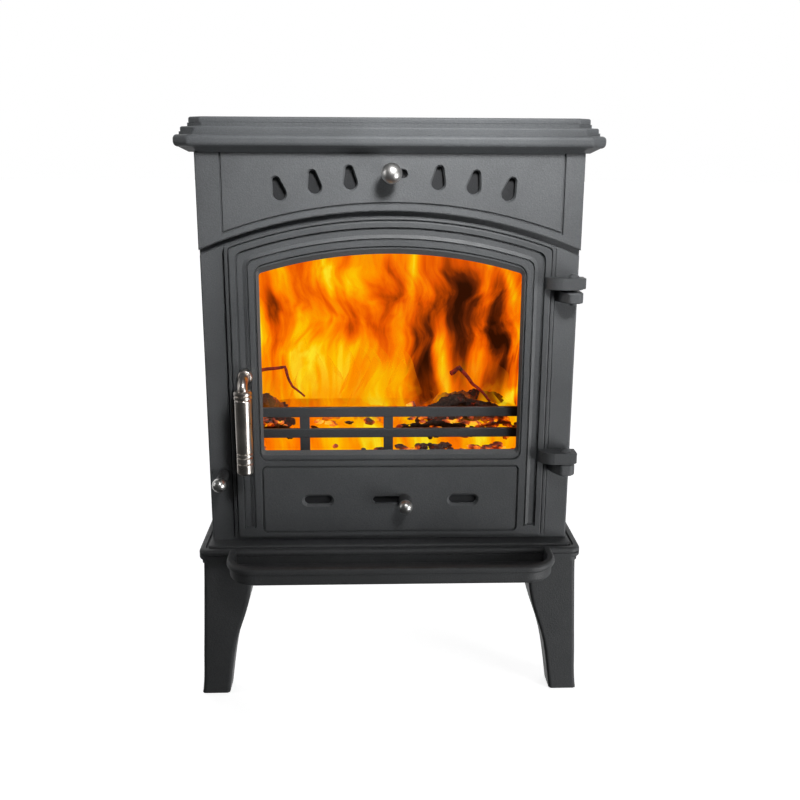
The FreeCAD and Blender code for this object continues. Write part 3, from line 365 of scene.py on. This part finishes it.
# ---------------------------------------------------------------- mesh helpers
def new_piece(name, mesh_builder, material, body, smooth=True):
    """An object made by a function that fills a mesh; it rides on a body of the stove."""
    mesh = bpy.data.meshes.new(name)
    bm = bmesh.new()
    mesh_builder(bm)
    bmesh.ops.recalc_face_normals(bm, faces=bm.faces)
    bm.to_mesh(mesh)
    bm.free()
    for polygon in mesh.polygons:
        polygon.use_smooth = smooth
    piece = bpy.data.objects.new(name, mesh)
    bpy.context.scene.collection.objects.link(piece)
    mesh.materials.append(material)
    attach(piece, body)
    return piece


def join_rings(bm, rings):
    """Faces between each ring of vertices and the next one."""
    for low, high in zip(rings, rings[1:]):
        sides = len(low)
        for side in range(sides):
            after = (side + 1) % sides
            bm.faces.new((low[side], low[after], high[after], high[side]))


def swept_tube(bm, path, radii, sides):
    """Rings of vertices along a path, joined and capped."""
    rings = []
    count = len(path)
    for index, centre in enumerate(path):
        ahead = (path[min(index + 1, count - 1)] - path[max(index - 1, 0)]).normalized()
        across = ahead.cross(Vector((0.0, 0.13, 1.0))).normalized()
        upward = across.cross(ahead).normalized()
        ring = []
        for side in range(sides):
            angle = 2 * math.pi * side / sides
            offset = across * math.cos(angle) + upward * math.sin(angle)
            ring.append(bm.verts.new(centre + offset * radii[index]))
        rings.append(ring)
    join_rings(bm, rings)
    bm.faces.new(list(reversed(rings[0])))
    bm.faces.new(rings[-1])


# ---------------------------------------------------------------- the fire
def baffle_underside(y):
    """Height of the sloping baffle's lower face at a depth."""
    share = (y - BAFFLE_FRONT) / (BAFFLE_REAR - BAFFLE_FRONT)
    return BAFFLE_FRONT_LOW + (BAFFLE_REAR_LOW - BAFFLE_FRONT_LOW) * max(0.0, share)


def through_window(point):
    """Where the line from a point in the fire to the pattern's eye crosses the glass."""
    share = (FRONT - FIRE_EYE.y) / (point.y - FIRE_EYE.y)
    crossing = FIRE_EYE.lerp(point, share)
    return crossing.x, crossing.z


def fire_grid(bm, grid):
    """Join columns of (place, heat, core) into one sheet; its maps carry heat, core and flow.

    Flow is the distance across the sheet along its foot, and up the sheet along its columns.
    Both maps are made before either is fetched, because making one moves the other.
    """
    for name in ("fire", "flow"):
        bm.loops.layers.uv.new(name)
    fire = bm.loops.layers.uv["fire"]
    flow = bm.loops.layers.uv["flow"]
    carried = {}
    columns = []
    across = 0.0
    for index, line in enumerate(grid):
        if index:
            step = line[0][0] - grid[index - 1][0][0]
            across += math.hypot(step.x, step.y)
        upward = 0.0
        verts = []
        for row, (place, heat, core) in enumerate(line):
            if row:
                upward += (place - line[row - 1][0]).length
            vert = bm.verts.new(place)
            carried[vert] = ((heat, core), (across, upward))
            verts.append(vert)
        columns.append(verts)
    for left, right in zip(columns, columns[1:]):
        for row in range(len(left) - 1):
            face = bm.faces.new((left[row], right[row], right[row + 1], left[row + 1]))
            for loop in face.loops:
                loop[fire].uv, loop[flow].uv = carried[loop.vert]


def soft_spot(x, z, centre, reach):
    """1 at a centre, fading to nothing beyond its reach across and up."""
    across = (x - centre[0]) / reach[0]
    upward = (z - centre[1]) / reach[1]
    return math.exp(-(across * across + upward * upward))


def fire_heat(point):
    """How bright the fire burns: high at the left and middle, smoky hollows at the right.

    A hollow is (depth, centre, reach), and a plume of flame is (lift, top, foot, width), both laid
    out on the glass as (across, height).
    """
    x, z = through_window(point)
    towards_right = min(1.0, max(0.0, x / 0.06))
    towards_foot = min(1.0, max(0.0, (0.50 - z) / 0.10))
    heat = 0.66 - 0.13 * towards_right
    heat += 0.13 * towards_foot * (1.0 if x < 0.03 else 0.25)
    hollows = (
        (0.31, (0.086, 0.536), (0.036, 0.050)),
        (0.33, (0.142, 0.495), (0.026, 0.075)),
        (0.26, (0.004, 0.548), (0.018, 0.024)),
        (0.30, (-0.004, 0.588), (0.008, 0.018)),
        (0.36, (-0.051, 0.505), (0.010, 0.020)),
        (0.26, (0.044, 0.450), (0.020, 0.055)),
        (0.34, (0.124, 0.430), (0.040, 0.034)),
        (0.20, (-0.100, 0.536), (0.024, 0.030)),
        (0.20, (-0.150, 0.530), (0.018, 0.028)),
        (0.42, (0.060, 0.408), (0.040, 0.022)))
    for depth, centre, reach in hollows:
        heat -= depth * soft_spot(x, z, centre, reach)
    plumes = (
        (0.20, (-0.052, 0.565), (-0.014, 0.440), 0.014),
        (0.16, (-0.108, 0.520), (-0.118, 0.415), 0.014),
        (0.20, (-0.168, 0.590), (-0.166, 0.500), 0.010),
        (0.18, (-0.036, 0.470), (-0.040, 0.400), 0.015),
        (0.28, (0.030, 0.600), (0.026, 0.560), 0.007),
        (0.36, (0.128, 0.590), (0.106, 0.400), 0.009),
        (0.60, (0.062, 0.480), (0.074, 0.418), 0.010),
        (0.36, (0.146, 0.585), (0.156, 0.555), 0.006),
        (0.44, (0.172, 0.430), (0.140, 0.396), 0.010),
        (0.28, (0.164, 0.500), (0.152, 0.430), 0.007))
    for lift, top, foot, width in plumes:
        share = min(1.0, max(0.0, (top[1] - z) / (top[1] - foot[1])))
        middle = top[0] + (foot[0] - top[0]) * share
        past = max(0.0, z - top[1], foot[1] - z)
        heat += lift * math.exp(-((x - middle) / width) ** 2 - (past / 0.02) ** 2)
    return heat


def fire_backdrop():
    """A curved wall of flame: up the back of the firebox, forward under the baffle, and up."""
    half = LINER_INNER - 6 * MM
    rear = REAR_LINER - 14 * MM
    near = FRONT + 50 * MM
    corner = 60 * MM
    lip = BAFFLE_FRONT - 5 * MM
    columns = 150
    rows = 110

    def plan(share):
        """Across and depth, a share of the way round from the left side to the right side."""
        side_run = rear - corner - near
        arc = math.pi * corner / 2
        back_run = 2 * (half - corner)
        gone = share * (2 * side_run + 2 * arc + back_run)
        if gone < side_run:
            return -half, near + gone
        gone -= side_run
        if gone < arc:
            angle = gone / corner
            return -half + corner * (1 - math.cos(angle)), rear - corner + corner * math.sin(angle)
        gone -= arc
        if gone < back_run:
            return -half + corner + gone, rear
        gone -= back_run
        if gone < arc:
            angle = gone / corner
            return half - corner * (1 - math.sin(angle)), rear - corner + corner * math.cos(angle)
        gone -= arc
        return half, rear - corner - gone

    def profile(y, rise):
        """Up the wall, then slanting forward under the baffle to its lip, then up past it."""
        foot = FIREBOX_FLOOR + 12 * MM
        knee = foot + 62 * MM
        low = baffle_underside(lip) - 14 * MM
        knee_rise = 0.35
        lip_rise = 0.82
        if y < lip:
            return y, foot + (WINDOW_TOP - foot) * rise
        if rise < knee_rise:
            return y, foot + (knee - foot) * rise / knee_rise
        if rise < lip_rise:
            share = (rise - knee_rise) / (lip_rise - knee_rise)
            return y + (lip - y) * share ** 1.35, knee + (low - knee) * share
        return lip, low + (WINDOW_TOP - low) * (rise - lip_rise) / (1.0 - lip_rise)

    def build(bm):
        grid = []
        for column in range(columns + 1):
            x, y = plan(column / columns)
            line = []
            for row in range(rows + 1):
                here, z = profile(y, row / rows)
                wave = abs(noise.noise(Vector((x * 16, z * 7, 3.1)))) * 5 * MM
                place = Vector((x, here - (wave if here > lip else 0.0), z))
                line.append((place, fire_heat(place), 1.0))
            grid.append(line)
        fire_grid(bm, grid)

    return new_piece("fire_backdrop", build, flame("flame_wall", 2.7, "solid"), "stove_body")


def flame_curtain(name, depth, tall, seed, material):
    """One wavy sheet of flame across the grate, with an uneven, spiky top edge.

    It stands lower at the right, where the logs lie, and thins out at its ends and its top.
    """
    columns = 160
    rows = 40
    half = 0.190
    foot = GRATE_TOP + 6 * MM
    lowest = 0.02
    baffle_gap = 22 * MM

    def build(bm):
        grid = []
        for column in range(columns + 1):
            across = column / columns
            x = half * (2 * across - 1)
            spikes = 0.6 * noise.noise(Vector((x * 34, seed, 0.0)))
            spikes += 0.5 * noise.noise(Vector((x * 85, seed + 9.0, 0.0)))
            height = tall * (0.62 + 0.75 * spikes)
            if x > 0.02:
                height *= 1.0 - 0.60 * min(1.0, (x - 0.02) / 0.03)
            height = max(height, lowest)
            ends = min(1.0, 8 * across, 8 * (1 - across))
            line = []
            for row in range(rows + 1):
                rise = row / rows
                sway = 0.035 * noise.noise(Vector((rise * 2.2, x * 5, seed))) * rise
                y = FRONT + depth + 0.012 * noise.noise(Vector((x * 18, rise * 3, seed + 3.0)))
                z = min(foot + height * rise, baffle_underside(y) - baffle_gap)
                core = ends * min(1.0, 1.5 * (1.0 - rise)) * min(1.0, 5.0 * rise + 0.3)
                heat = 0.58 + 0.20 * (1.0 - rise)
                line.append((Vector((x + sway, y, z)), heat, core))
            grid.append(line)
        fire_grid(bm, grid)

    return new_piece(name, build, material, "stove_body")


def flames():
    flame_curtain("flame_curtain_rear", 0.190, 0.17, 4.0, flame("flame_rear", 6.3, "veil"))
    flame_curtain("flame_curtain_front", 0.088, 0.10, 21.0, flame("flame_front", 11.6, "veil"))


def burning_bed():
    """Bright ash that glows over the whole grate, heaped a little and uneven.

    Its front edge drops to the firebox floor. Its back curves up and fades into the wall of flame.
    """
    columns = 110
    rows = 90
    half = 0.196
    near = FRONT + 28 * MM
    deep = 0.270
    edge_rows = 4
    heap_rows = 14
    heap_height = 0.012
    lump_height = 0.016
    back_height = 0.055
    back_start = 0.45

    def build(bm):
        grid = []
        for column in range(columns + 1):
            x = half * (2 * column / columns - 1)
            line = []
            for row in range(rows + 1):
                share = row / rows
                y = near + deep * share
                lumps = abs(noise.noise(Vector((x * 55, y * 55, 7.7))))
                lumps += 0.5 * abs(noise.noise(Vector((x * 130, y * 130, 2.2))))
                lumps *= (1.0 - 0.8 * share) * min(1.0, row / 5)
                heap = heap_height * min(1.0, row / heap_rows)
                z = GRATE_TOP + 2 * MM + lump_height * lumps + heap
                z -= (GRATE_TOP - FIREBOX_FLOOR) * max(0.0, 1.0 - row / edge_rows)
                back = max(0.0, (share - back_start) / (1.0 - back_start))
                place = Vector((x, y, z + back_height * back * back))
                bright = 0.80 - 0.20 * min(1.0, max(0.0, (x - 0.02) / 0.05))
                bright += (fire_heat(place) - bright) * share
                line.append((place, bright, 1.0 - back))
            grid.append(line)
        fire_grid(bm, grid)

    return new_piece("burning_bed", build, flame("glowing_ash", 17.1, "fading"), "stove_body")


def log(name, start, end, radius, seed):
    """A split, half-burnt log: uneven round bar with an eaten-away surface and broken ends."""
    rings = 40
    sides = 28
    bow = 0.008

    def build(bm):
        loops = []
        ahead = (end - start).normalized()
        across = ahead.cross(Vector((0, 0, 1))).normalized()
        upward = across.cross(ahead)
        for ring in range(rings + 1):
            along = ring / rings
            centre = start.lerp(end, along)
            centre.z += bow * math.sin(math.pi * along)
            taper = min(1.0, 0.72 + 6 * min(along, 1 - along))
            loop = []
            for side in range(sides):
                angle = 2 * math.pi * side / sides
                split = 0.72 if math.cos(angle - seed) > 0.35 else 1.0
                bark = noise.fractal(Vector((math.cos(angle) * 2, math.sin(angle) * 2,
                                             along * 7 + seed)), 0.6, 2.0, 5)
                reach = radius * taper * (split + 0.30 * bark)
                offset = across * math.cos(angle) + upward * math.sin(angle)
                loop.append(bm.verts.new(centre + offset * reach))
            loops.append(loop)
        join_rings(bm, loops)
        for loop, tip in ((loops[0], start), (loops[-1], end)):
            hub = bm.verts.new(tip + (tip - (start + end) / 2).normalized() * radius * 0.12)
            for side in range(sides):
                bm.faces.new((loop[side], loop[(side + 1) % sides], hub))

    return new_piece(name, build, charred_wood(f"char_{name}", seed), "stove_body")


def logs():
    """Logs as (name, two ends as x, depth and height above the grate, radius, seed)."""
    pile = (
        ("log_rear", (0.07, 0.205, 0.014), (0.18, 0.21, 0.018), 0.016, 0.4),
        ("log_right", (0.050, 0.085, 0.016), (0.168, 0.150, 0.020), 0.016, 2.1),
        ("log_cross", (0.075, 0.165, 0.026), (0.160, 0.105, 0.030), 0.010, 5.2),
        ("log_steep", (0.040, 0.110, 0.014), (0.112, 0.130, 0.048), 0.009, 9.3),
        ("log_low", (0.010, 0.075, 0.014), (0.120, 0.060, 0.016), 0.010, 7.7),
        ("log_left", (-0.190, 0.130, 0.040), (-0.140, 0.085, 0.012), 0.018, 3.6),
        ("log_left_low", (-0.186, 0.070, 0.012), (-0.118, 0.055, 0.010), 0.010, 1.2),
    )
    for name, start, end, radius, seed in pile:
        first = Vector((start[0], FRONT + start[1], GRATE_TOP + start[2]))
        last = Vector((end[0], FRONT + end[1], GRATE_TOP + end[2]))
        log(name, first, last, radius, seed)


def twig(name, points, radius):
    """A thin, crooked stick through points of (across, depth, height above the grate)."""
    path = [Vector((x, FRONT + depth, GRATE_TOP + height)) for x, depth, height in points]
    smooth_path = []
    for first, second in zip(path, path[1:]):
        for step in range(8):
            smooth_path.append(first.lerp(second, step / 8))
    smooth_path.append(path[-1])
    for index, place in enumerate(smooth_path):
        wobble = noise.noise_vector(place * 60) * radius * 0.8
        smooth_path[index] = place + wobble
    count = len(smooth_path)
    radii = [radius * (1.0 - 0.55 * index / count) for index in range(count)]
    return new_piece(name, lambda bm: swept_tube(bm, smooth_path, radii, 10),
                     twig_bark(f"bark_{name}"), "stove_body")


def twigs():
    """A bent twig at each side of the fire."""
    twig("twig_left", [(-0.181, 0.09, 0.099), (-0.146, 0.085, 0.105), (-0.134, 0.08, 0.077),
                       (-0.118, 0.075, 0.066)], 0.0026)
    twig("twig_right", [(0.089, 0.10, 0.092), (0.099, 0.095, 0.103), (0.118, 0.09, 0.078),
                        (0.142, 0.085, 0.056)], 0.0036)


def ember_bed():
    """Broken coals strewn over the bed, most at the right: many lumps of one mesh.

    One in four lies on the bed's front edge, where it drops to the firebox floor.
    """
    draw = random.Random(5)
    count = 200
    right_end, middle, left_start, left_end = 0.187, 0.030, -0.140, -0.188
    right_share = 0.72
    left_share = 0.16

    def build(bm):
        for number in range(count):
            zone = draw.random()
            if zone < right_share:
                x = draw.uniform(middle, right_end)
            elif zone < right_share + left_share:
                x = draw.uniform(left_end, left_start)
            else:
                x = draw.uniform(left_start, middle)
            size = draw.uniform(0.003, 0.0075)
            if number % 4:
                y = FRONT + draw.triangular(0.040, 0.17, 0.05)
                lift = 0.012 * min(1.0, (y - FRONT - 0.033) / 0.04)
                z = GRATE_TOP + size * 0.5 + 0.005 + lift + 0.012 * draw.random()
            else:
                share = draw.random()
                y = FRONT + 0.028 + 0.010 * share
                z = FIREBOX_FLOOR + 0.006 + (GRATE_TOP - FIREBOX_FLOOR) * share
            made = bmesh.ops.create_icosphere(bm, subdivisions=2, radius=size)
            squeeze = Vector((draw.uniform(0.8, 1.9), draw.uniform(0.6, 1.3),
                              draw.uniform(0.35, 0.8)))
            turn = Matrix.Rotation(draw.uniform(0, math.pi), 3, "Z")
            shift = Vector((x, y, z))
            for vert in made["verts"]:
                lump = 1.0 + 0.55 * noise.noise(vert.co * 210 + Vector((number, 0, 0)))
                chunk = Vector(a * b for a, b in zip(vert.co * lump, squeeze))
                vert.co = turn @ chunk + shift

    return new_piece("ember_bed", build, ember_coal("ember"), "stove_body", smooth=False)


# ---------------------------------------------------------------- finishes for the CAD nodes
def dress(names, material):
    """Give every CAD node named the one finish."""
    for name in names:
        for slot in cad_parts[name].material_slots:
            slot.material = material


def dress_frame():
    body = stove_paint("matt_paint_body", (0.111, 0.116, 0.121), seed=0.0)
    # The door's copy of the paint is darker than the body's all over: painted shade meant for the
    # door's lower panel, where less light falls.
    door = stove_paint("matt_paint_door_painted_shade", (0.090, 0.094, 0.098), seed=2.3)
    top = stove_paint("matt_paint_top", (0.112, 0.118, 0.124), seed=4.1, shine=0.26)
    # The copy for the base plate, ash lip and legs is darker again: painted shade for the lowest
    # parts of the stove, where less light falls.
    legs = stove_paint("matt_paint_legs_painted_shade", (0.084, 0.087, 0.090), seed=6.7)
    dress(["front_plate", "right_side_plate", "left_side_plate", "back_plate", "flue_collar",
           "hinge_pins"], body)
    dress(["log_guard"], stove_paint("guard_grey", (0.060, 0.063, 0.067), 0.6, 3.2))
    dress(["top_plate", "blanking_plate"], top)
    dress(["door"], door)
    dress(["base_plate", "ash_lip", "leg_front_left", "leg_front_right", "leg_rear_left",
           "leg_rear_right"], legs)
    sooty = sooty_iron("sooty_iron")
    dress(["grate_frame", "riddling_grate", "baffle_plate"], sooty)
    black = stove_paint("black_sheet_steel", (0.03, 0.03, 0.032), 0.4, 8.2)
    # The sliders' grey is near black, darker than their own paint would be: painted shade for the
    # inside of the air vents.
    dress(["top_air_slider", "low_air_slider"],
          stove_paint("shutter_grey_painted_shade", (0.018, 0.019, 0.021), 0.6, 5.5))
    dress(["ash_pan", "top_air_guides", "low_air_guides", "leg_bolts", "lip_bolts",
           "collar_bolts"], black)
    dress(["left_liner", "right_liner", "rear_liner"], fire_brick("fire_board"))
    dress(["riddling_ferrule", "low_air_ferrule"],
          stove_paint("ferrule_black", (0.05, 0.05, 0.052), 0.5, 9.4))
    dress(["door_rope", "glass_gasket"], rope_weave("glass_rope"))
    steel = plated("satin_steel", (0.50, 0.50, 0.49), 0.28, 0.42)
    dress(["tie_rods", "glass_clips", "clip_screws", "hinge_washer", "latch_cam", "spindle_nut",
           "riddling_rod"], steel)
    dress(["top_air_knob", "low_air_knob", "riddling_knob"],
          plated("bright_nickel", (0.80, 0.79, 0.77), 0.30, 0.42))
    dress(["handle_spindle", "handle_elbow", "handle_grip"],
          plated("handle_nickel", (0.66, 0.61, 0.56), 0.26, 0.38, 0.6))
    dress(["door_glass"], clear_glass("door_glass"))


# ---------------------------------------------------------------- stage
def stage_only(sheet):
    """Seen as a background, but it throws no light on the stove and no reflection in it."""
    sheet.visible_diffuse = False
    sheet.visible_glossy = False
    sheet.visible_shadow = False


def floor():
    reach = FLOOR_REACH
    corners = [(-reach, -reach, 0), (reach, -reach, 0), (reach, reach, 0), (-reach, reach, 0)]
    mesh = bpy.data.meshes.new("floor")
    mesh.from_pydata(corners, [], [(0, 1, 2, 3)])
    sheet = bpy.data.objects.new("floor", mesh)
    bpy.context.scene.collection.objects.link(sheet)
    mesh.materials.append(pale_floor("floor_paint"))
    stage_only(sheet)


def studio_wall():
    """A round white wall inside the floor's edge, so that the room is pale from all sides."""
    mesh = bpy.data.meshes.new("studio_wall")
    bm = bmesh.new()
    bmesh.ops.create_cone(bm, cap_ends=False, segments=64, radius1=WALL_RADIUS,
                          radius2=WALL_RADIUS, depth=WALL_HEIGHT)
    bm.to_mesh(mesh)
    bm.free()
    wall = bpy.data.objects.new("studio_wall", mesh)
    bpy.context.scene.collection.objects.link(wall)
    s = Shader("wall_paint")
    mesh.materials.append(s.principled(Base_Color=(0.0, 0.0, 0.0, 1.0), Specular_IOR_Level=0.0,
                                       Emission_Color=(1.0, 1.0, 1.0, 1.0), Emission_Strength=1.0))
    stage_only(wall)


def hang(light, place, aim):
    """Put a light at a place, turned towards its aim."""
    lamp = bpy.data.objects.new(light.name, light)
    bpy.context.scene.collection.objects.link(lamp)
    lamp.location = place
    lamp.rotation_euler = (Vector(aim) - Vector(place)).to_track_quat("-Z", "Y").to_euler()


def area_light(name, place, aim, size, power):
    light = bpy.data.lights.new(name, "AREA")
    light.shape = "RECTANGLE"
    light.size, light.size_y = size
    light.energy = power
    hang(light, place, aim)


def key_light():
    """A soft spot from the upper right on the brow and the door's arch, fading downwards."""
    spot = bpy.data.lights.new("key_spot", "SPOT")
    spot.energy = 152
    spot.spot_size = math.radians(36)
    spot.spot_blend = 1.0
    spot.shadow_soft_size = 0.20
    hang(spot, (0.36, FRONT - 1.08, 1.50), (0.03, FRONT, 0.795))


def surroundings():
    """Dim grey light from all round, a little stronger from above, and white behind the stove."""
    world = bpy.data.worlds.new("studio")
    world.use_nodes = True
    nodes = world.node_tree.nodes
    links = world.node_tree.links
    coords = nodes.new("ShaderNodeTexCoord")
    direction = nodes.new("ShaderNodeSeparateXYZ")
    links.new(coords.outputs["Generated"], direction.inputs[0])

    def fade(axis, low, high, to_low, to_high):
        node = nodes.new("ShaderNodeMapRange")
        links.new(direction.outputs[axis], node.inputs["Value"])
        for name, number in (("From Min", low), ("From Max", high),
                             ("To Min", to_low), ("To Max", to_high)):
            node.inputs[name].default_value = number
        return node.outputs["Result"]

    strength = nodes.new("ShaderNodeMix")
    links.new(fade("Y", 0.45, 0.62, 0.0, 1.0), strength.inputs["Factor"])
    links.new(fade("Z", -0.15, 0.75, 0.03, 0.07), strength.inputs["A"])
    strength.inputs["B"].default_value = 1.0
    background = nodes["Background"]
    links.new(strength.outputs["Result"], background.inputs["Strength"])
    background.inputs["Color"].default_value = (1.0, 1.0, 1.0, 1.0)
    bpy.context.scene.world = world


def lighting():
    surroundings()
    key_light()
    area_light("front_fill", (1.1, -2.6, 1.2), (0, 0, 0.5), (1.6, 1.2), 1.2)
    area_light("right_fill", (0.98, -0.78, 0.16), (0, -0.2, 0.26), (0.4, 0.6), 7.5)
    area_light("left_edge", (-2.0, -0.3, 0.9), (0, 0, 0.5), (0.4, 1.2), 4)


def camera():
    """The camera: yaw turns it to the right, pitch turns it down, and roll leans it over."""
    ahead = Vector((math.sin(CAMERA_YAW) * math.cos(CAMERA_PITCH),
                    math.cos(CAMERA_YAW) * math.cos(CAMERA_PITCH), -math.sin(CAMERA_PITCH)))
    level = Vector((math.cos(CAMERA_YAW), -math.sin(CAMERA_YAW), 0.0))
    upward = level.cross(ahead)
    right = level * math.cos(CAMERA_ROLL) + upward * math.sin(CAMERA_ROLL)
    up = upward * math.cos(CAMERA_ROLL) - level * math.sin(CAMERA_ROLL)
    data = bpy.data.cameras.new("photo_view")
    data.lens = CAMERA_LENS
    data.sensor_width = 36.0
    data.clip_end = 100.0
    view = bpy.data.objects.new("photo_view", data)
    bpy.context.scene.collection.objects.link(view)
    turned = Matrix((right, up, -ahead)).transposed().to_4x4()
    turned.translation = CAMERA_PLACE
    view.matrix_world = turned
    bpy.context.scene.camera = view


# ---------------------------------------------------------------- build
noise.seed_set(5)                                     # vector noise is seeded by the clock if not
dress_frame()
fire_backdrop()
flames()
burning_bed()
logs()
twigs()
ember_bed()
floor()
studio_wall()
lighting()
camera()
bpy.context.scene.view_settings.view_transform = "Standard"
